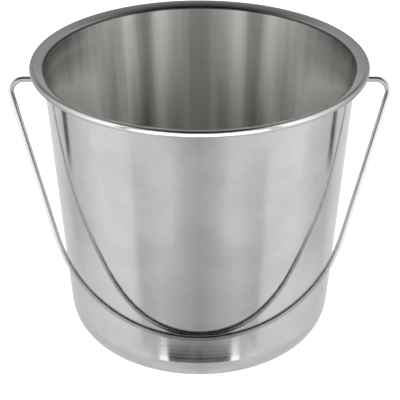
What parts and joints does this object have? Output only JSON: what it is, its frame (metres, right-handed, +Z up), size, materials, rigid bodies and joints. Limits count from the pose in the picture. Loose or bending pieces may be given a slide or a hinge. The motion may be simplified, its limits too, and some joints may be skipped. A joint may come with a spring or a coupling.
{
  "type": "milk pail",
  "caption": "Tapered stainless steel milk pail with a flanged and beaded rim, domed side ears and a swinging wire bail that rests against the wall.",
  "frame": {"origin": "middle of the base, on the surface the pail stands on", "axes": "+Z up through the mouth, X along the bail's hinge axis, the bail resting over the -Y side"},
  "size_m": [0.3308, 0.29, 0.2546],
  "materials": {
    "pail_steel": "polished stainless steel, near mirror, with fine grain running round the body",
    "ear_steel": "pressed stainless steel, softly polished",
    "bail_steel": "bright drawn stainless wire"
  },
  "bodies": {
    "pail": {"pail_body": "pail_steel", "ear_left": "ear_steel", "ear_right": "ear_steel"},
    "bail": {"bail": "bail_steel"}
  },
  "joints": [
    {"name": "bail_swing", "type": "hinge", "parent": "pail", "child": "bail", "pos_m": [0, 0, 0.2338], "axis": [-1, 0, 0], "range_deg": [0, 291]}
  ]
}
